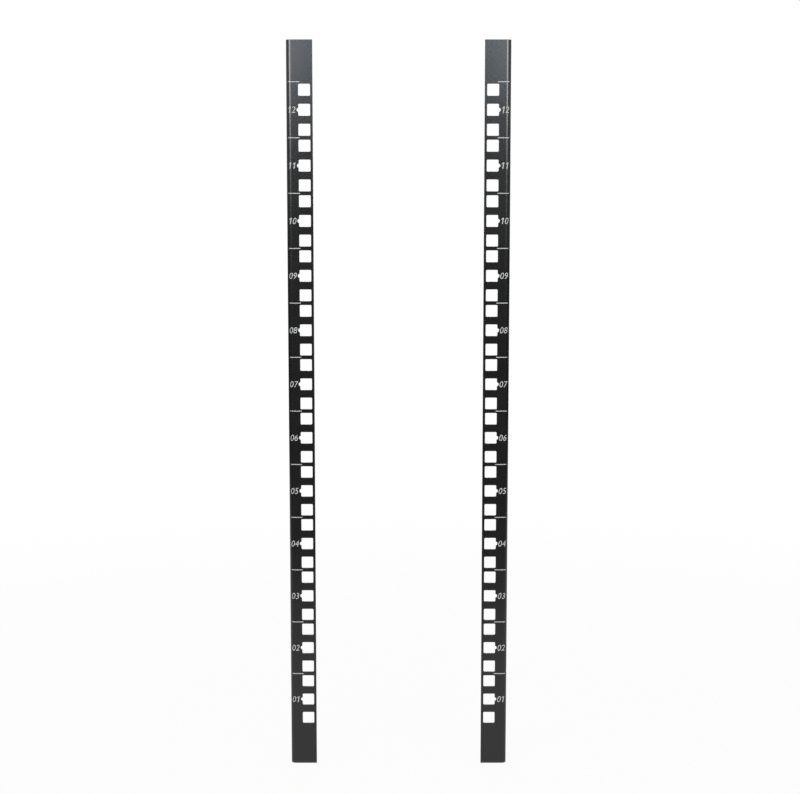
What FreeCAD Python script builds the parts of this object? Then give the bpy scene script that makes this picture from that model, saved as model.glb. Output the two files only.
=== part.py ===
# A pair of 12-unit rack mounting rails: two steel angles, each punched and folded from one strip of sheet,
# one the mirror image of the other.
#
# Frame, in millimetres: +Z is up and the rails stand on Z = 0. The punched faces look towards -Y, the flanges
# run back towards +Y, and X = 0 lies midway between the rails.

import FreeCAD, Part

import math
import os

import Sketcher

# Driving sizes in millimetres, apart from the two counts.
SIZES = {
    # the rack standard: three square holes to a unit, then a shorter step to the next unit's first hole
    "hole_pitch": 15.875,
    "unit_step": 12.7,
    "holes_in_unit": 3,
    "unit_count": 12,
    # one square hole for a cage nut
    "square_hole": 9.5,
    "hole_corner": 0.8,
    # the round nick that marks the middle hole of each unit
    "notch_radius": 1.6,
    "notch_depth": 1.4,
    # the folded sheet
    "sheet_thickness": 1.5,
    "bend_radius": 2.5,
    "face_width": 21.4,
    "flange_depth": 40.0,
    # steel left between the square holes and the free edge of the face
    "edge_land": 2.05,
    # plain steel past the first and the last unit
    "end_margin": 33.3,
    # the round holes that bolt the flange to a cabinet
    "fixing_hole": 6.6,
    "fixing_spacing": 20.0,
    "fixing_from_back": 10.0,
    "fixing_from_end": 15.0,
    # clear distance between the free edges of the two rails
    "rail_gap": 138.0,
}

# Places that follow from those sizes.
RACK_UNIT = "((Sizes.holes_in_unit - 1) * Sizes.hole_pitch + Sizes.unit_step)"
RAIL_LENGTH = f"(Sizes.unit_count * {RACK_UNIT} + 2 * Sizes.end_margin)"
HOLE_OUTER_X = "(Sizes.face_width - Sizes.edge_land - Sizes.square_hole)"
FIRST_HOLE_Z = "(Sizes.end_margin + Sizes.unit_step / 2)"
MIDDLE_HOLE_Z = f"(Sizes.end_margin + {RACK_UNIT} / 2)"

# A sketch counts a curve's points up from 1, and its own axes down from -1.
START, END, CENTRE = range(1, 4)
HORIZONTAL_AXIS, VERTICAL_AXIS = range(-1, -3, -1)

# In a pattern's list of steps, this value stands for the row's own spacing.
ROW_SPACING = -1.0
# How far a count of cuts, worked out from volumes, may lie from a whole number.
COPY_TOLERANCE = 0.01

doc = FreeCAD.newDocument("rack_rails")


def make_size_sheet():
    """The spreadsheet that holds the driving sizes, one named cell each."""
    sheet = doc.addObject("Spreadsheet::Sheet", "Sizes")
    for row, (name, value) in enumerate(SIZES.items(), start=1):
        sheet.set(f"A{row}", name)
        sheet.set(f"B{row}", str(value))
        sheet.setAlias(f"B{row}", name)
    doc.recompute()


def origin_feature(body, role):
    """The body's own axis or plane with that role."""
    return next(feature for feature in body.Origin.OriginFeatures if feature.Role == role)


def new_sketch(body, name, plane):
    """An empty sketch on one of the body's origin planes."""
    sketch = body.newObject("Sketcher::SketchObject", name)
    sketch.AttachmentSupport = (origin_feature(body, plane), [""])
    sketch.MapMode = "FlatFace"
    return sketch


def dimension(sketch, name, expression, *constraint):
    """Adds a named dimension whose value follows the sheet."""
    index = sketch.addConstraint(Sketcher.Constraint(*constraint))
    sketch.renameConstraint(index, name)
    sketch.setExpression(f"Constraints.{name}", expression)


def line(x1, y1, x2, y2):
    return Part.LineSegment(FreeCAD.Vector(x1, y1, 0), FreeCAD.Vector(x2, y2, 0))


def quarter_arc(x, y, radius, quarter):
    """A quarter circle about (x, y), counted anticlockwise from the +X direction."""
    circle = Part.Circle(FreeCAD.Vector(x, y, 0), FreeCAD.Vector(0, 0, 1), radius)
    return Part.ArcOfCircle(circle, quarter * math.pi / 2, (quarter + 1) * math.pi / 2)


def angle_section(body):
    """Cross-section of the folded sheet: face along X, flange along Y, outside of the fold at the origin."""
    thickness, inside = SIZES["sheet_thickness"], SIZES["bend_radius"]
    width, depth = SIZES["face_width"], SIZES["flange_depth"]
    outside = inside + thickness
    sketch = new_sketch(body, "angle_section", "XY_Plane")
    face, fold, flange, back, flange_inside, fold_inside, face_inside, free_edge = sketch.addGeometry([
        line(width, 0, outside, 0),
        quarter_arc(outside, outside, outside, 2),
        line(0, outside, 0, depth),
        line(0, depth, thickness, depth),
        line(thickness, depth, thickness, outside),
        quarter_arc(outside, outside, inside, 2),
        line(outside, thickness, width, thickness),
        line(width, thickness, width, 0),
    ])
    sketch.addConstraint([
        Sketcher.Constraint("Tangent", face, END, fold, END),
        Sketcher.Constraint("Tangent", fold, START, flange, START),
        Sketcher.Constraint("Coincident", flange, END, back, START),
        Sketcher.Constraint("Coincident", back, END, flange_inside, START),
        Sketcher.Constraint("Tangent", flange_inside, END, fold_inside, START),
        Sketcher.Constraint("Tangent", fold_inside, END, face_inside, START),
        Sketcher.Constraint("Coincident", face_inside, END, free_edge, START),
        Sketcher.Constraint("Coincident", free_edge, END, face, START),
        Sketcher.Constraint("Coincident", fold, CENTRE, fold_inside, CENTRE),
        Sketcher.Constraint("PointOnObject", flange, START, VERTICAL_AXIS),
        Sketcher.Constraint("PointOnObject", face, START, HORIZONTAL_AXIS),
    ])
    for edge in (face, back, face_inside):
        sketch.addConstraint(Sketcher.Constraint("Horizontal", edge))
    for edge in (flange, flange_inside, free_edge):
        sketch.addConstraint(Sketcher.Constraint("Vertical", edge))
    dimension(sketch, "thickness", "Sizes.sheet_thickness", "DistanceX", back, START, back, END, thickness)
    dimension(sketch, "inside_radius", "Sizes.bend_radius", "Radius", fold_inside, inside)
    dimension(sketch, "face_width", "Sizes.face_width", "DistanceX", flange, START, free_edge, END, width)
    dimension(sketch, "flange_depth", "Sizes.flange_depth", "DistanceY", face, START, flange, END, depth)
    return sketch


def square_hole_outline(body):
    """The lowest square hole, with rounded corners, drawn on the face."""
    size, radius = SIZES["square_hole"], SIZES["hole_corner"]
    near, far = radius, size - radius
    sketch = new_sketch(body, "square_hole_outline", "XZ_Plane")
    bottom, right, top, left, low_right, high_right, high_left, low_left = sketch.addGeometry([
        line(near, 0, far, 0),
        line(size, near, size, far),
        line(far, size, near, size),
        line(0, far, 0, near),
        quarter_arc(far, near, radius, 3),
        quarter_arc(far, far, radius, 0),
        quarter_arc(near, far, radius, 1),
        quarter_arc(near, near, radius, 2),
    ])
    corners = [low_right, high_right, high_left, low_left]
    before = [bottom, right, top, left]
    after = [right, top, left, bottom]
    for corner, side, next_side in zip(corners, before, after):
        sketch.addConstraint(Sketcher.Constraint("Tangent", side, END, corner, START))
        sketch.addConstraint(Sketcher.Constraint("Tangent", corner, END, next_side, START))
    sketch.addConstraint([Sketcher.Constraint("Equal", low_right, corner) for corner in corners[1:]])
    sketch.addConstraint([Sketcher.Constraint("Horizontal", side) for side in (bottom, top)])
    sketch.addConstraint([Sketcher.Constraint("Vertical", side) for side in (left, right)])
    dimension(sketch, "corner", "Sizes.hole_corner", "Radius", low_right, radius)
    dimension(sketch, "width", "Sizes.square_hole", "DistanceX", left, END, right, START, size)
    dimension(sketch, "height", "Sizes.square_hole", "DistanceY", bottom, START, top, END, size)
    dimension(sketch, "across", HOLE_OUTER_X, "DistanceX", HORIZONTAL_AXIS, START, left, START, 1)
    dimension(sketch, "up", f"{FIRST_HOLE_Z} - Sizes.square_hole / 2",
              "DistanceY", HORIZONTAL_AXIS, START, bottom, START, 1)
    return sketch


def circle_outline(body, name, plane, radius, across, up):
    """One circle on an origin plane, its radius and centre given as expressions."""
    sketch = new_sketch(body, name, plane)
    circle = Part.Circle(FreeCAD.Vector(1, 1, 0), FreeCAD.Vector(0, 0, 1), 1)
    index = sketch.addGeometry(circle)
    dimension(sketch, "radius", radius, "Radius", index, 1)
    dimension(sketch, "across", across, "DistanceX", HORIZONTAL_AXIS, START, index, CENTRE, 1)
    dimension(sketch, "up", up, "DistanceY", HORIZONTAL_AXIS, START, index, CENTRE, 1)
    return sketch


def cut_through(body, name, outline, reverse=False):
    """Punches an outline through the sheet, and makes sure that steel was taken away."""
    before = body.Tip.Shape.Volume
    punch = body.newObject("PartDesign::Pocket", name)
    punch.Profile = outline
    punch.Type = "ThroughAll"
    punch.Reversed = reverse
    body.Tip = punch
    doc.recompute()
    if punch.Shape.Volume >= before:
        raise RuntimeError(f"{name} cuts nothing")
    return punch


def repeat(body, name, punch, rows):
    """Repeats a cut along one or two of the body's axes, and makes sure that each copy took its own steel.

    Each row is (axis, reversed, spacing, count).
    """
    pattern = body.newObject("PartDesign::LinearPattern", name)
    pattern.Originals = [punch]
    for suffix, (axis, backwards, spacing, count) in zip(("", "2"), rows):
        setattr(pattern, f"Direction{suffix}", (origin_feature(body, axis), [""]))
        setattr(pattern, f"Reversed{suffix}", backwards)
        setattr(pattern, f"Mode{suffix}", "Spacing")
        setattr(pattern, f"Spacings{suffix}", [ROW_SPACING])
        pattern.setExpression(f"Offset{suffix}", spacing)
        pattern.setExpression(f"Occurrences{suffix}", count)
    body.Tip = pattern
    doc.recompute()
    uncut = punch.BaseFeature.Shape.Volume
    copies = (uncut - pattern.Shape.Volume) / (uncut - punch.Shape.Volume)
    wanted = pattern.Occurrences * pattern.Occurrences2
    if abs(copies - wanted) > COPY_TOLERANCE:
        raise RuntimeError(f"{name} has {copies:.2f} cuts instead of {wanted}")


def make_left_rail():
    """The rail for the left side, with its fold and flange on the outside."""
    body = doc.addObject("PartDesign::Body", "left_rail")
    strip = body.newObject("PartDesign::Pad", "folded_strip")
    strip.Profile = angle_section(body)
    strip.setExpression("Length", RAIL_LENGTH)
    body.Tip = strip
    doc.recompute()

    square = cut_through(body, "square_hole", square_hole_outline(body))
    repeat(body, "square_holes", square, [
        ("Z_Axis", False, "Sizes.hole_pitch", "Sizes.holes_in_unit"),
        ("Z_Axis", False, RACK_UNIT, "Sizes.unit_count"),
    ])

    notch_x = f"{HOLE_OUTER_X} - Sizes.notch_depth + Sizes.notch_radius"
    notch_outline = circle_outline(body, "notch_outline", "XZ_Plane", "Sizes.notch_radius",
                                   notch_x, MIDDLE_HOLE_Z)
    notch = cut_through(body, "notch", notch_outline)
    repeat(body, "notches", notch, [("Z_Axis", False, RACK_UNIT, "Sizes.unit_count")])

    fixing_y = "Sizes.flange_depth - Sizes.fixing_from_back"
    fixing_outline = circle_outline(body, "fixing_outline", "YZ_Plane", "Sizes.fixing_hole / 2",
                                    fixing_y, "Sizes.fixing_from_end")
    fixing = cut_through(body, "fixing_hole", fixing_outline, reverse=True)
    repeat(body, "fixing_holes", fixing, [
        ("Y_Axis", True, "Sizes.fixing_spacing", "2"),
        ("Z_Axis", False, f"{RAIL_LENGTH} - 2 * Sizes.fixing_from_end", "2"),
    ])

    body.setExpression("Placement.Base.x", "-(Sizes.rail_gap / 2 + Sizes.face_width)")
    body.setExpression("Placement.Base.y", "-Sizes.flange_depth / 2")
    return body


def make_right_rail(left_rail):
    """The opposite hand: the left rail mirrored about the plane midway between the two."""
    rail = doc.addObject("Part::Mirroring", "right_rail")
    rail.Source = left_rail
    rail.Base = FreeCAD.Vector(0, 0, 0)
    rail.Normal = FreeCAD.Vector(1, 0, 0)
    return rail


def check_document(rails):
    """Stops before anything is written if a feature failed or a rail isn't one sound solid."""
    for item in doc.Objects:
        if "Invalid" in item.State or "Error" in item.State:
            raise RuntimeError(f"{item.Label} is {item.State}")
    for rail in rails:
        if rail.Shape.isNull() or not rail.Shape.isValid() or len(rail.Shape.Solids) != 1:
            raise RuntimeError(f"{rail.Label} isn't one valid solid")


make_size_sheet()
left_rail = make_left_rail()
right_rail = make_right_rail(left_rail)
doc.recompute()
check_document([left_rail, right_rail])

os.makedirs("parts", exist_ok=True)
for rail in (left_rail, right_rail):
    rail.Shape.exportStep(f"parts/{rail.Label}.step")
    box = rail.Shape.BoundBox
    print(f"{rail.Label}: {rail.Shape.Volume:.1f} mm3, X {box.XMin:.2f} to {box.XMax:.2f},",
          f"Y {box.YMin:.2f} to {box.YMax:.2f}, Z {box.ZMin:.2f} to {box.ZMax:.2f}")
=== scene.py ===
# %% [markdown]
# # A pair of rack mounting rails
#
# Each rail is one strip of steel sheet. A press punches square holes into it, a brake folds one side back
# to a flange, and the whole strip is powder coated black and printed with unit marks and numbers. The steps
# below are a flat strip with holes, the fold, the print, which goes through the same fold, and last the
# finishes, the light and the camera.

import math

import bmesh
import bpy
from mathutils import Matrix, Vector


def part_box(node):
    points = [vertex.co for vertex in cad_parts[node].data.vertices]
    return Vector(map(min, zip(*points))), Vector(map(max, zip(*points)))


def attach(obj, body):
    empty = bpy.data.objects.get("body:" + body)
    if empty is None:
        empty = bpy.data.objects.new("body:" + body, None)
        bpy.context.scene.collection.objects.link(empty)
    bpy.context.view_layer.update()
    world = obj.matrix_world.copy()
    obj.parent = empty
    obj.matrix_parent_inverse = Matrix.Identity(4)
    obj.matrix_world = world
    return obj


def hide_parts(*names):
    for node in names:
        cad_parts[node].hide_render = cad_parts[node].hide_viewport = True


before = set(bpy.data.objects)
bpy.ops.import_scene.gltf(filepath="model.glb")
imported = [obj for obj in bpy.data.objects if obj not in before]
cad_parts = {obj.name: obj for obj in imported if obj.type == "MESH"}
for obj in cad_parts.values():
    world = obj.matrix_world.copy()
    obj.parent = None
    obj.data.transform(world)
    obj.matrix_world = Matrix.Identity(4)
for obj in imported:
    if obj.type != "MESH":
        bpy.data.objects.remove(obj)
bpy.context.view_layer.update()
print("solids to dress:", ", ".join(sorted(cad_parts)))

# %% [markdown]
# ## The strip, laid flat
#
# The sheet could be cut from a box with Booleans, but a real blank is an outline with holes, and so is a
# filled 2D curve. Its first closed spline is the outline, every spline inside that is a hole, Extrude gives
# the sheet its thickness, and a small bevel rounds the rims as a powder coat does. The flat drawing uses
# millimetres: `u` runs along the outside of the sheet from the free edge of the face, `v` runs up the rail.

# %% Sizes of the sheet, in millimetres
MM = 0.001
low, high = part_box("right_rail")
FREE_EDGE_X, OUTER_X = low.x / MM, high.x / MM
FRONT_Y, BACK_Y = low.y / MM, high.y / MM
RAIL_LENGTH = (high.z - low.z) / MM
SHEET = 1.5
RIM = 0.2
BEND_OUTSIDE = 4.0
BEND_LENGTH = BEND_OUTSIDE * math.pi / 2
FLAT_FACE = OUTER_X - FREE_EDGE_X - BEND_OUTSIDE
FLAT_FLANGE = BACK_Y - FRONT_Y - BEND_OUTSIDE
STRIP_WIDTH = FLAT_FACE + BEND_LENGTH + FLAT_FLANGE
print(f"flat strip: {STRIP_WIDTH:.1f} x {RAIL_LENGTH:.1f} x {SHEET} mm")

# %% Rows of the rack standard
UNITS = 12
RACK_UNIT = 44.45
HOLE_PITCH = 15.875
FIRST_UNIT_V = (RAIL_LENGTH - UNITS * RACK_UNIT) / 2
unit_middles = [FIRST_UNIT_V + (unit + 0.5) * RACK_UNIT for unit in range(UNITS)]
unit_tops = [middle + RACK_UNIT / 2 for middle in unit_middles]
print(f"unit 1 starts {FIRST_UNIT_V:.2f} mm above the lower end")

# %% Outlines of the strip and of its holes
ARC_STEP = 15
SQUARE_HOLE, HOLE_CORNER, EDGE_LAND = 9.5, 0.8, 2.05
NOTCH_RADIUS, NOTCH_DEPTH = 1.6, 1.4
FIXING_RADIUS = 3.3
FIXING_DEPTHS = (10.0, 30.0)
FIXING_FROM_END = 15.0


def arc(centre_u, centre_v, radius, start, end):
    """Points along a circular arc between two angles in degrees, both ends included."""
    steps = max(2, round((end - start) / ARC_STEP))
    angles = [math.radians(start + (end - start) * step / steps) for step in range(steps + 1)]
    return [(centre_u + radius * math.cos(angle), centre_v + radius * math.sin(angle)) for angle in angles]


def square_hole(middle, notched):
    """A punched square with rounded corners. The middle hole of a unit has a nick in its outer side."""
    inner, outer = EDGE_LAND + HOLE_CORNER, EDGE_LAND + SQUARE_HOLE - HOLE_CORNER
    reach = SQUARE_HOLE / 2 - HOLE_CORNER
    points = arc(outer, middle - reach, HOLE_CORNER, -90, 0)
    if notched:
        side = EDGE_LAND + SQUARE_HOLE
        notch_u = side + NOTCH_DEPTH - NOTCH_RADIUS
        opening = math.degrees(math.acos((side - notch_u) / NOTCH_RADIUS))
        points += arc(notch_u, middle, NOTCH_RADIUS, -opening, opening)
    points += arc(outer, middle + reach, HOLE_CORNER, 0, 90)
    points += arc(inner, middle + reach, HOLE_CORNER, 90, 180)
    points += arc(inner, middle - reach, HOLE_CORNER, 180, 270)
    return points


strip_outline = [(0, 0), (STRIP_WIDTH, 0), (STRIP_WIDTH, RAIL_LENGTH), (0, RAIL_LENGTH)]
hole_outlines = [square_hole(middle + row * HOLE_PITCH, notched=row == 0)
                 for middle in unit_middles for row in (-1, 0, 1)]
for depth in FIXING_DEPTHS:
    fixing_u = FLAT_FACE + BEND_LENGTH + depth - BEND_OUTSIDE
    for fixing_v in (FIXING_FROM_END, RAIL_LENGTH - FIXING_FROM_END):
        hole_outlines.append(arc(fixing_u, fixing_v, FIXING_RADIUS, 0, 360)[:-1])
print(f"{len(hole_outlines)} holes to punch")

# %% [markdown]
# ## From a curve to a solid plate
#
# Blender fills the curve when it turns it into a mesh, but the caps and the rims come out as separate sheets
# of faces that only lie against each other. Merging their points makes one closed solid, and counting the
# edges that don't have exactly two faces proves it. The points on the cut edges are then marked for the
# finish, because a coat looks different there.

# %% Make a plate from outlines
WELD = 0.002
RIM_STEPS = 2


def plate(name, loops, thickness, rim):
    """A closed flat solid in millimetres: the first loop is its outline and the others are holes."""
    curve = bpy.data.curves.new(name, "CURVE")
    curve.dimensions = "2D"
    curve.fill_mode = "BOTH"
    curve.extrude = thickness / 2 - rim
    curve.bevel_depth = rim
    curve.bevel_resolution = RIM_STEPS
    curve.offset = -rim
    for loop in loops:
        spline = curve.splines.new("POLY")
        spline.points.add(len(loop) - 1)
        for point, (u, v) in zip(spline.points, loop):
            point.co = (u, v, 0, 1)
        spline.use_cyclic_u = True
    return solid_from(bpy.data.objects.new(name, curve))


def solid_from(drawing):
    """Turns a curve or text object into a bmesh with its caps and rims merged."""
    mesh = bpy.data.meshes.new_from_object(drawing)
    solid = bmesh.new()
    solid.from_mesh(mesh)
    bmesh.ops.remove_doubles(solid, verts=solid.verts, dist=WELD)
    bpy.data.meshes.remove(mesh)
    bpy.data.objects.remove(drawing)
    return solid


strip = plate("flat_strip", [strip_outline] + hole_outlines, SHEET, RIM)
open_edges = sum(len(edge.link_faces) != 2 for edge in strip.edges)
print(f"flat strip: {len(strip.faces)} faces, {open_edges} open edges, {strip.calc_volume():.0f} mm3")

# %% Remember where the sheet was cut
cut_edge = strip.verts.layers.float.new("cut_edge")
for vertex in strip.verts:
    vertex[cut_edge] = float(abs(vertex.co.z) < SHEET / 2 - WELD)
print(f"{sum(vertex[cut_edge] > 0 for vertex in strip.verts)} points lie on cut edges")

# %% [markdown]
# ## The fold
#
# A bend is a piece of a cylinder. A Simple Deform modifier could roll the strip up, but a formula does it
# exactly: up to the bend a point keeps its place, across it the point goes round an arc, and past it the
# point runs straight back. The sheet only needs edges to bend at, so it is first cut along a row of lines.
#
# Smooth shading would blur the flat faces into the rims of their holes, and on a shiny coat that shows as
# creases. The same formula says which way the sheet faces at each point, so the broad faces are given those
# directions as custom normals, and only the rims keep the ones that Blender works out.

# %% Where a point of the strip goes
BEND_STEPS = 14


def turn_at(u):
    """How far the sheet has turned at a distance along the strip, in radians."""
    return min(max((u - FLAT_FACE) / BEND_OUTSIDE, 0), math.pi / 2)


def folded(point):
    """Where a point of the flat strip ends up on the right rail, in millimetres."""
    u, v, lift = point
    turn, radius = turn_at(u), BEND_OUTSIDE - SHEET / 2 + lift
    across = min(u, FLAT_FACE) + radius * math.sin(turn)
    back = max(u - FLAT_FACE - BEND_LENGTH, 0) + BEND_OUTSIDE - radius * math.cos(turn)
    return FREE_EDGE_X + across, FRONT_Y + back, v


print("corner of the strip goes to", [round(value, 2) for value in folded((STRIP_WIDTH, 0, SHEET / 2))])

# %% Fold a flat solid
BROAD = 0.999


def fold(solid, side):
    """Cuts a flat solid along the bend lines, folds it, and returns the way that each face corner looks.

    Side is 1 for the right rail and -1 for the left. Corners of rims get no direction.
    """
    for step in range(BEND_STEPS + 1):
        line_u = FLAT_FACE + BEND_LENGTH * step / BEND_STEPS
        bmesh.ops.bisect_plane(solid, geom=solid.verts[:] + solid.edges[:] + solid.faces[:],
                               dist=WELD / 2, plane_co=(line_u, 0, 0), plane_no=(1, 0, 0))
    bmesh.ops.remove_doubles(solid, verts=solid.verts, dist=WELD)
    if side < 0:
        bmesh.ops.reverse_faces(solid, faces=solid.faces)
    solid.normal_update()
    directions = []
    for face in solid.faces:
        outside = side * face.normal.z
        looks = (outside > BROAD) - (outside < -BROAD)
        for loop in face.loops:
            turn = turn_at(loop.vert.co.x)
            directions.append((looks * side * math.sin(turn), -looks * math.cos(turn), 0))
    for vertex in solid.verts:
        x, y, z = folded(vertex.co)
        vertex.co = (side * x * MM, y * MM, z * MM)
    return directions


def folded_piece(name, solid, side):
    """Folds a flat solid and puts it into the scene, with the way that its broad faces look."""
    directions = fold(solid, side)
    mesh = bpy.data.meshes.new(name)
    solid.to_mesh(mesh)
    solid.free()
    mesh.shade_smooth()
    mesh.normals_split_custom_set(directions)
    made = bpy.data.objects.new(name, mesh)
    bpy.context.scene.collection.objects.link(made)
    return made


# %% Fold one strip for each side
SIDES = {"left": -1, "right": 1}
sheets = {}
for side_name, side in SIDES.items():
    sheets[side_name] = folded_piece(f"{side_name}_folded_sheet", strip.copy(), side)
    print(f"{side_name} rail: {len(sheets[side_name].data.polygons)} faces after folding")
strip.free()

# %% [markdown]
# ## The print
#
# Each unit has a line at its top and a slanted two-figure number beside its notched hole. Both are white
# ink, a few hundredths of a millimetre thick. An image texture could carry them, but a thin solid keeps its
# crisp edge at any distance. The print reaches a little way round the bend, so it is drawn flat and folded
# with the sheet.

# %% Lay flat print on the strip
INK = 0.03
INK_SUNK = 0.005


def lay_print(solid, u, v, side):
    """Moves flat print to its place on the strip. The left rail's print is turned to read the right way."""
    for vertex in solid.verts:
        vertex.co.x = u + side * vertex.co.x
        vertex.co.y += v
        vertex.co.z += SHEET / 2 + INK / 2 - INK_SUNK
    if side < 0:
        bmesh.ops.reverse_faces(solid, faces=solid.faces)


def gather(solids):
    """Joins several bmeshes into one."""
    joined = bmesh.new()
    for solid in solids:
        part = bpy.data.meshes.new("part")
        solid.to_mesh(part)
        solid.free()
        joined.from_mesh(part)
        bpy.data.meshes.remove(part)
    return joined


print(f"ink stands {INK - INK_SUNK} mm proud of the coat")

# %% Unit marks
MARK_START, MARK_END = 10.6, 20.1
MARK_HEIGHT = 0.65
mark_middle, mark_reach = (MARK_START + MARK_END) / 2, (MARK_END - MARK_START) / 2
mark_outline = [(-mark_reach, -MARK_HEIGHT / 2), (mark_reach, -MARK_HEIGHT / 2),
                (mark_reach, MARK_HEIGHT / 2), (-mark_reach, MARK_HEIGHT / 2)]
prints = []
for side_name, side in SIDES.items():
    marks = []
    for top in unit_tops:
        mark = plate("mark", [mark_outline], INK, 0)
        lay_print(mark, mark_middle, top, side)
        marks.append(mark)
    prints.append(folded_piece(f"{side_name}_unit_marks", gather(marks), side))
print(f"{len(unit_tops)} marks on each rail")

# %% [markdown]
# ## The figures
#
# Blender's own type has plain round figures, but its 1 is a bare stroke, and the rails have a 1 with a flag.
# So the 1 is drawn as an outline and the others are set in type, each scaled by what brings the 0 to the
# right width and height, and leaned over.

# %% Figures of the unit numbers
FIGURE_WIDTH, FIGURE_HEIGHT = 2.85, 5.05
FIGURE_LEAN = 0.18
STROKE = 0.8
FLAG_REACH, FLAG_DROP = 1.05, 1.0
ONE_CENTRE = 0.2


def one_outline():
    """The figure 1: an upright stroke with a flag that falls to the left, about its own middle."""
    top, right = FIGURE_HEIGHT / 2, ONE_CENTRE + STROKE / 2
    left, flag_tip = right - STROKE, right - STROKE - FLAG_REACH
    return [(left, -top), (right, -top), (right, top), (left, top),
            (flag_tip, top - FLAG_DROP), (flag_tip, top - FLAG_DROP - STROKE), (left, top - STROKE)]


def typed(character):
    """One figure in Blender's own type, at a type size of one."""
    font = bpy.data.curves.new("figure", "FONT")
    font.body = character
    font.align_x = "CENTER"
    font.extrude = INK / 2
    return solid_from(bpy.data.objects.new("figure", font))


nought = typed("0")
type_left, type_right = (pick(vertex.co.x for vertex in nought.verts) for pick in (min, max))
type_bottom, type_top = (pick(vertex.co.y for vertex in nought.verts) for pick in (min, max))
nought.free()
type_scale_u = FIGURE_WIDTH / (type_right - type_left)
type_scale_v = FIGURE_HEIGHT / (type_top - type_bottom)
print(f"type is scaled {type_scale_u:.2f} across and {type_scale_v:.2f} up")


def figure(character, offset):
    """A leaning figure in millimetres, some way to the side of the number's middle."""
    if character == "1":
        made = plate("figure", [one_outline()], INK, 0)
    else:
        made = typed(character)
        for vertex in made.verts:
            vertex.co.x = type_scale_u * (vertex.co.x - (type_left + type_right) / 2)
            vertex.co.y = type_scale_v * (vertex.co.y - (type_bottom + type_top) / 2)
    for vertex in made.verts:
        vertex.co.x += offset + FIGURE_LEAN * vertex.co.y
    return made


# %% Unit numbers
FIGURE_PITCH = 3.35
NUMBER_MIDDLE_U = 16.85
for side_name, side in SIDES.items():
    numbers = []
    for unit, middle in enumerate(unit_middles, start=1):
        for character, offset in zip(f"{unit:02d}", (-FIGURE_PITCH / 2, FIGURE_PITCH / 2)):
            made = figure(character, offset)
            lay_print(made, NUMBER_MIDDLE_U, middle, side)
            numbers.append(made)
    prints.append(folded_piece(f"{side_name}_unit_numbers", gather(numbers), side))
print(f"figures {FIGURE_HEIGHT} mm tall on both rails")

# %% [markdown]
# ## Colours and nodes
#
# Colours are written as sRGB hex values, as a paint chart gives them, and one function turns them to the
# linear numbers that shaders take. A second small function adds any node with its settings and links, so
# that each finish below reads as a list of what it is made of.

# %% Helpers for materials


def linear(hex_colour):
    """An sRGB colour such as #1b1c1d as linear red, green, blue and alpha, by the standard's formula."""
    shares = [int(hex_colour[place:place + 2], 16) / 255 for place in (1, 3, 5)]
    light = [share / 12.92 if share <= 0.04045 else ((share + 0.055) / 1.055) ** 2.4 for share in shares]
    return light + [1.0]


def add_node(tree, kind, inputs=None, **settings):
    """Adds a node. Each input is a value, or another node's output to link to it."""
    node = tree.nodes.new(kind)
    for name, value in settings.items():
        setattr(node, name, value)
    for name, value in (inputs or {}).items():
        if isinstance(value, bpy.types.NodeSocket):
            tree.links.new(value, node.inputs[name])
        else:
            node.inputs[name].default_value = value
    return node


def new_tree(name):
    """An empty material and its node tree."""
    material = bpy.data.materials.new(name)
    material.use_nodes = True
    material.node_tree.nodes.clear()
    return material, material.node_tree


print("colour check, mid grey:", [round(share, 3) for share in linear("#808080")])

# %% [markdown]
# ## Black powder coat on steel
#
# Polyester powder is sprayed on dry and melted in an oven. It flows out to a semi-gloss skin with a faint
# orange peel: ripples a millimetre or so across and a few thousandths deep. They are drawn at that size, so
# a picture of the whole rail only shows them as a soft break in the reflection, and a close one shows the
# ripples. A glossier film forms where the powder lies thicker, so the roughness drifts a little along the
# strip. The melt also draws back from the sharp edges that the punch leaves: there the film is thin, a shade
# greyer and duller. To the eye the rail is near-black, with a bright lamp mirrored in it as a soft glow.

# %% Powder coat
COAT_COLOUR, COAT_DRIFT_COLOUR, THIN_COAT_COLOUR = "#1b1b1b", "#1f1f1e", "#3a3937"
COAT_IOR = 1.5
COAT_ROUGHNESS = (0.168, 0.192)
THIN_COAT_ROUGHNESS = 0.34
PEEL_SIZE, PEEL_DEPTH, PEEL_DETAIL = 1.3, 0.011, 1.5
FILM_SIZE, FILM_DETAIL, FILM_RANGE = 45.0, 2.0, (0.3, 0.7)
EDGE_PATCH_SIZE, EDGE_PATCH_DETAIL, EDGE_PATCH_RANGE = 3.0, 3.0, (0.35, 0.7)

powder_coat, tree = new_tree("black_powder_coat")
place = add_node(tree, "ShaderNodeTexCoord")
peel = add_node(tree, "ShaderNodeTexNoise", {
    "Vector": place.outputs["Object"], "Scale": 1 / (PEEL_SIZE * MM), "Detail": PEEL_DETAIL})
film = add_node(tree, "ShaderNodeTexNoise", {
    "Vector": place.outputs["Object"], "Scale": 1 / (FILM_SIZE * MM), "Detail": FILM_DETAIL})
patches = add_node(tree, "ShaderNodeTexNoise", {
    "Vector": place.outputs["Object"], "Scale": 1 / (EDGE_PATCH_SIZE * MM), "Detail": EDGE_PATCH_DETAIL})
cut = add_node(tree, "ShaderNodeAttribute", attribute_name="cut_edge")
thin = add_node(tree, "ShaderNodeMapRange", {
    "Value": patches.outputs["Fac"], "From Min": EDGE_PATCH_RANGE[0], "From Max": EDGE_PATCH_RANGE[1],
    "To Max": cut.outputs["Fac"]})
gloss = add_node(tree, "ShaderNodeMapRange", {
    "Value": film.outputs["Fac"], "From Min": FILM_RANGE[0], "From Max": FILM_RANGE[1],
    "To Min": COAT_ROUGHNESS[0], "To Max": COAT_ROUGHNESS[1]})
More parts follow.
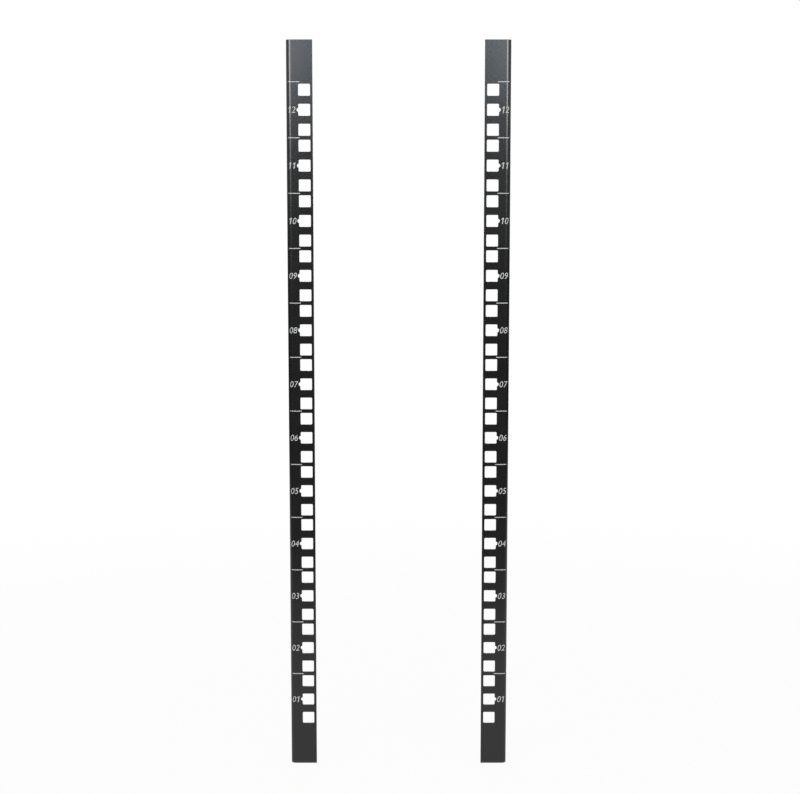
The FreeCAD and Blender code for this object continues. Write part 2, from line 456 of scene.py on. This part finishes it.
dulled = add_node(tree, "ShaderNodeMapRange", {
    "Value": thin.outputs["Result"], "To Min": gloss.outputs["Result"], "To Max": THIN_COAT_ROUGHNESS})
drift = add_node(tree, "ShaderNodeMix", {
    "Factor": film.outputs["Fac"], "A": linear(COAT_COLOUR), "B": linear(COAT_DRIFT_COLOUR)},
    data_type="RGBA")
shade = add_node(tree, "ShaderNodeMix", {
    "Factor": thin.outputs["Result"], "A": drift.outputs["Result"], "B": linear(THIN_COAT_COLOUR)},
    data_type="RGBA")
ripple = add_node(tree, "ShaderNodeBump", {"Height": peel.outputs["Fac"], "Distance": PEEL_DEPTH * MM})
skin = add_node(tree, "ShaderNodeBsdfPrincipled", {
    "Base Color": shade.outputs["Result"], "Roughness": dulled.outputs["Result"], "IOR": COAT_IOR,
    "Normal": ripple.outputs["Normal"]})
add_node(tree, "ShaderNodeOutputMaterial", {"Surface": skin.outputs["BSDF"]})
print("powder coat:", len(tree.nodes), "nodes")

# %% [markdown]
# ## White screen ink
#
# Two-part epoxy ink is pressed through a mesh on to the cured coat. It dries matt and nearly white, a little
# thin in places, so the black shows through as a faint grey mottle the size of the mesh.

# %% Screen ink
INK_COLOUR, THIN_INK_COLOUR = "#c3c4c2", "#aeafad"
INK_ROUGHNESS = 0.5
MOTTLE_SIZE, MOTTLE_DETAIL = 0.35, 2.0
THIN_INK_RANGE = (0.45, 0.75)
INK_GRAIN = INK / 5

screen_ink, tree = new_tree("white_screen_ink")
place = add_node(tree, "ShaderNodeTexCoord")
mottle = add_node(tree, "ShaderNodeTexNoise", {
    "Vector": place.outputs["Object"], "Scale": 1 / (MOTTLE_SIZE * MM), "Detail": MOTTLE_DETAIL})
thin = add_node(tree, "ShaderNodeMapRange", {
    "Value": mottle.outputs["Fac"], "From Min": THIN_INK_RANGE[0], "From Max": THIN_INK_RANGE[1]})
white = add_node(tree, "ShaderNodeMix", {
    "Factor": thin.outputs["Result"], "A": linear(INK_COLOUR), "B": linear(THIN_INK_COLOUR)},
    data_type="RGBA")
grain = add_node(tree, "ShaderNodeBump", {"Height": mottle.outputs["Fac"], "Distance": INK_GRAIN * MM})
dry_ink = add_node(tree, "ShaderNodeBsdfPrincipled", {
    "Base Color": white.outputs["Result"], "Roughness": INK_ROUGHNESS, "Normal": grain.outputs["Normal"]})
add_node(tree, "ShaderNodeOutputMaterial", {"Surface": dry_ink.outputs["BSDF"]})
print("screen ink:", len(tree.nodes), "nodes")

# %% Dress the pieces
for side_name, sheet in sheets.items():
    sheet.data.materials.append(powder_coat)
    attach(sheet, "root")
    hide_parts(f"{side_name}_rail")
for printed in prints:
    printed.data.materials.append(screen_ink)
    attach(printed, "root")

# %% [markdown]
# ## Floor and surroundings
#
# The rails stand on white. A floor and a world that send white to the camera, and to shiny surfaces, give
# that without pouring more light on the object. Near the rails part of the floor's white is still lit paint,
# so a soft shadow stays. Further off the floor glows fully, so that it meets the white world without a
# horizon.

# %% Helpers for the surroundings


def seen_directly(tree):
    """One where a ray comes from the camera, a reflection or clear glass, and zero elsewhere."""
    rays = add_node(tree, "ShaderNodeLightPath")
    either = add_node(tree, "ShaderNodeMath", {
        0: rays.outputs["Is Camera Ray"], 1: rays.outputs["Is Glossy Ray"]}, operation="MAXIMUM")
    any_ray = add_node(tree, "ShaderNodeMath", {
        0: either.outputs["Value"], 1: rays.outputs["Is Transmission Ray"]}, operation="MAXIMUM")
    return any_ray.outputs["Value"]


def distance_from_middle(tree):
    """How far a point of a flat stage sheet is from the sheet's own middle, in metres."""
    place = add_node(tree, "ShaderNodeTexCoord")
    reach = add_node(tree, "ShaderNodeVectorMath", {0: place.outputs["Object"]}, operation="LENGTH")
    return reach.outputs["Value"]


def stage_sheet(name, corners, faces, material):
    """A mesh that belongs to the set and not to the object."""
    mesh = bpy.data.meshes.new(name)
    mesh.from_pydata(corners, [], faces)
    mesh.materials.append(material)
    made = bpy.data.objects.new(name, mesh)
    bpy.context.scene.collection.objects.link(made)
    return made


def square(half, height):
    """The four corners of a level square about the middle."""
    return [(-half, -half, height), (half, -half, height), (half, half, height), (-half, half, height)]


print("first corner of a 2 m square:", square(1.0, 0.0)[0])

# %% White floor
FLOOR_SIZE = 16.0
FLOOR_COLOUR = "#f4f4f4"
FLOOR_GLOW = 0.95
FULL_GLOW_FROM, FULL_GLOW_AT = 0.25, 1.3

white_floor, tree = new_tree("white_floor")
paint = add_node(tree, "ShaderNodeBsdfDiffuse", {"Color": linear(FLOOR_COLOUR)})
glow = add_node(tree, "ShaderNodeEmission", {"Strength": 1.0})
level = add_node(tree, "ShaderNodeMapRange", {
    "Value": distance_from_middle(tree), "From Min": FULL_GLOW_FROM, "From Max": FULL_GLOW_AT,
    "To Min": FLOOR_GLOW, "To Max": 1.0}, interpolation_type="SMOOTHSTEP")
share = add_node(tree, "ShaderNodeMath", {
    0: seen_directly(tree), 1: level.outputs["Result"]}, operation="MULTIPLY")
blend = add_node(tree, "ShaderNodeMixShader", {
    0: share.outputs["Value"], 1: paint.outputs["BSDF"], 2: glow.outputs["Emission"]})
add_node(tree, "ShaderNodeOutputMaterial", {"Surface": blend.outputs["Shader"]})
stage_sheet("floor", square(FLOOR_SIZE / 2, 0), [(0, 1, 2, 3)], white_floor)
print(f"floor {FLOOR_SIZE} m square")

# %% White world
AMBIENT = 0.33
world = bpy.data.worlds.new("white_studio")
bpy.context.scene.world = world
world.use_nodes = True
tree = world.node_tree
tree.nodes.clear()
level = add_node(tree, "ShaderNodeMapRange", {
    "Value": seen_directly(tree), "To Min": AMBIENT, "To Max": 1.0})
sky = add_node(tree, "ShaderNodeBackground", {"Color": (1, 1, 1, 1), "Strength": level.outputs["Result"]})
add_node(tree, "ShaderNodeOutputWorld", {"Surface": sky.outputs["Background"]})
print(f"ambient light {AMBIENT}")

# %% [markdown]
# ## Black cloth round the set
#
# A shiny dark surface shows what stands opposite it. In a white room the faces would be flat grey, so a
# photographer stands a black card in front of the rails and hangs black gauze, which thins out towards its
# top, round the sides and the back. A black carpet leaves a pale patch of table that reaches further out at
# the sides and behind than in front. The steel then goes dark in the middle and paler near its feet. The
# cloths are seen by reflections alone, so they cast no shadow and hide nothing.

# %% Sheets that only reflections see
CARD_DISTANCE = 2.3
WALL_STEP = 6
VELVET_COLOUR = "#0a0a0a"


def card(name, corners, faces, material):
    """A stage sheet that only glossy rays meet."""
    made = stage_sheet(name, corners, faces, material)
    made.visible_camera = False
    made.visible_diffuse = False
    made.visible_transmission = False
    made.visible_volume_scatter = False
    made.visible_shadow = False
    return made


def curved_wall(name, start, end, top, material):
    """An upright card that curves round the rails between two angles, counted from straight in front."""
    angles = [math.radians(angle) for angle in range(start, end + 1, WALL_STEP)]
    feet = [(CARD_DISTANCE * math.sin(angle), -CARD_DISTANCE * math.cos(angle)) for angle in angles]
    corners = [(x, y, z) for x, y in feet for z in (0.0, top)]
    faces = [(2 * i, 2 * i + 2, 2 * i + 3, 2 * i + 1) for i in range(len(feet) - 1)]
    return card(name, corners, faces, material)


def fading_velvet(tree, cover):
    """Black velvet that is only there as far as a cover of 0 to 1 says."""
    clear = add_node(tree, "ShaderNodeBsdfTransparent")
    velvet = add_node(tree, "ShaderNodeBsdfDiffuse", {"Color": linear(VELVET_COLOUR)})
    blend = add_node(tree, "ShaderNodeMixShader", {
        0: cover, 1: clear.outputs["BSDF"], 2: velvet.outputs["BSDF"]})
    add_node(tree, "ShaderNodeOutputMaterial", {"Surface": blend.outputs["Shader"]})


print("cloths hang", CARD_DISTANCE, "m away")

# %% Front card
CARD_TOP = 0.66
FRONT_HALF_ANGLE = 48
black_card, tree = new_tree("black_card")
fading_velvet(tree, 1.0)
curved_wall("front_card", -FRONT_HALF_ANGLE, FRONT_HALF_ANGLE, CARD_TOP, black_card)
print("front card up to", CARD_TOP, "m")

# %% Gauze round the sides and the back
GAUZE_FADE = (0.2, 0.85)
black_gauze, tree = new_tree("black_gauze")
place = add_node(tree, "ShaderNodeTexCoord")
axes = add_node(tree, "ShaderNodeSeparateXYZ", {"Vector": place.outputs["Object"]})
cover = add_node(tree, "ShaderNodeMapRange", {
    "Value": axes.outputs["Z"], "From Min": GAUZE_FADE[0], "From Max": GAUZE_FADE[1],
    "To Min": 1.0, "To Max": 0.0}, interpolation_type="SMOOTHSTEP")
fading_velvet(tree, cover.outputs["Result"])
curved_wall("gauze", FRONT_HALF_ANGLE, 360 - FRONT_HALF_ANGLE, GAUZE_FADE[1], black_gauze)
print("gauze thins out from", GAUZE_FADE[0], "to", GAUZE_FADE[1], "m")

# %% Carpet
CARPET_HEIGHT, CARPET_HALF = 0.002, 3.0
CARPET_BACK, CARPET_STRETCH = 0.5, 1.2
CARPET_FADE = (CARPET_BACK + 0.2, CARPET_BACK + 0.95)
CARPET_LEAST = 0.24
black_carpet, tree = new_tree("black_carpet")
cover = add_node(tree, "ShaderNodeMapRange", {
    "Value": distance_from_middle(tree), "From Min": CARPET_FADE[0], "From Max": CARPET_FADE[1],
    "To Min": CARPET_LEAST, "To Max": 1.0}, interpolation_type="SMOOTHSTEP")
fading_velvet(tree, cover.outputs["Result"])
carpet = card("carpet", square(CARPET_HALF, CARPET_HEIGHT), [(0, 1, 2, 3)], black_carpet)
carpet.location.y = CARPET_BACK
carpet.scale.x = CARPET_STRETCH
print("carpet is black", CARPET_FADE[1] - CARPET_BACK, "m in front of the rails")

# %% [markdown]
# ## Lamps
#
# Two softboxes hang in front, just too high for the lower faces to mirror them, so the coat is brightest at
# the top and fades on the way down. The gap between them lets each face darken a little towards its free
# edge. Two more, further out to the left and right, draw the bright line along the start of each bend. A
# broad one behind does for the backs of the rails. The front and rear lamps are a little cool and the other
# two are neutral.

# %% Softboxes
LAMP_DISTANCE = 2.2
COOL_LIGHT, NEUTRAL_LIGHT = "#e2eefb", "#ffffff"
AREA_LAMP_FACTOR = 4.0


def softbox(name, angle, bottom, top, width, radiance, colour):
    """An area lamp that faces the rails, at an angle from straight in front, with a given brightness."""
    lamp = bpy.data.lights.new(name, "AREA")
    lamp.color = linear(colour)[:3]
    lamp.shape = "RECTANGLE"
    lamp.size, lamp.size_y = width, top - bottom
    lamp.energy = AREA_LAMP_FACTOR * lamp.size * lamp.size_y * radiance
    made = bpy.data.objects.new(name, lamp)
    turn = math.radians(angle)
    made.location = (LAMP_DISTANCE * math.sin(turn), -LAMP_DISTANCE * math.cos(turn), (bottom + top) / 2)
    made.rotation_euler = (math.radians(90), 0, turn)
    made.visible_camera = False
    bpy.context.scene.collection.objects.link(made)


for side_name, side in SIDES.items():
    softbox(f"{side_name}_front_softbox", angle=side * 8.3, bottom=0.62, top=1.22, width=0.26,
            radiance=5.5, colour=COOL_LIGHT)
    softbox(f"{side_name}_bend_softbox", angle=side * 29, bottom=0.55, top=0.86, width=1.3,
            radiance=8.8, colour=NEUTRAL_LIGHT)
softbox("rear_softbox", angle=180, bottom=0.45, top=1.22, width=1.8, radiance=2.4, colour=COOL_LIGHT)
print("lamps:", ", ".join(sorted(lamp.name for lamp in bpy.data.lights)))

# %% [markdown]
# ## Camera
#
# The photograph looks slightly down on the rails from straight ahead. The spacing of the unit marks gives
# the distance and the tilt, and the width of a rail in the picture gives the focal length.

# %% Camera
IMAGE_WIDTH = 800
SENSOR = 36.0
FOCAL_PIXELS = 1824.3
CAMERA_FROM_FACE, CAMERA_X, CAMERA_HEIGHT = 1482, 1.1, 518.3
CAMERA_TILT = 7.936

lens = bpy.data.cameras.new("camera")
lens.sensor_fit = "HORIZONTAL"
lens.sensor_width = SENSOR
lens.lens = FOCAL_PIXELS / IMAGE_WIDTH * SENSOR
camera = bpy.data.objects.new("camera", lens)
camera.location = (CAMERA_X * MM, (FRONT_Y - CAMERA_FROM_FACE) * MM, CAMERA_HEIGHT * MM)
camera.rotation_euler = (math.radians(90 - CAMERA_TILT), 0, 0)
bpy.context.scene.collection.objects.link(camera)
bpy.context.scene.camera = camera
bpy.context.scene.view_settings.view_transform = "Standard"
print(f"focal length {lens.lens:.1f} mm")
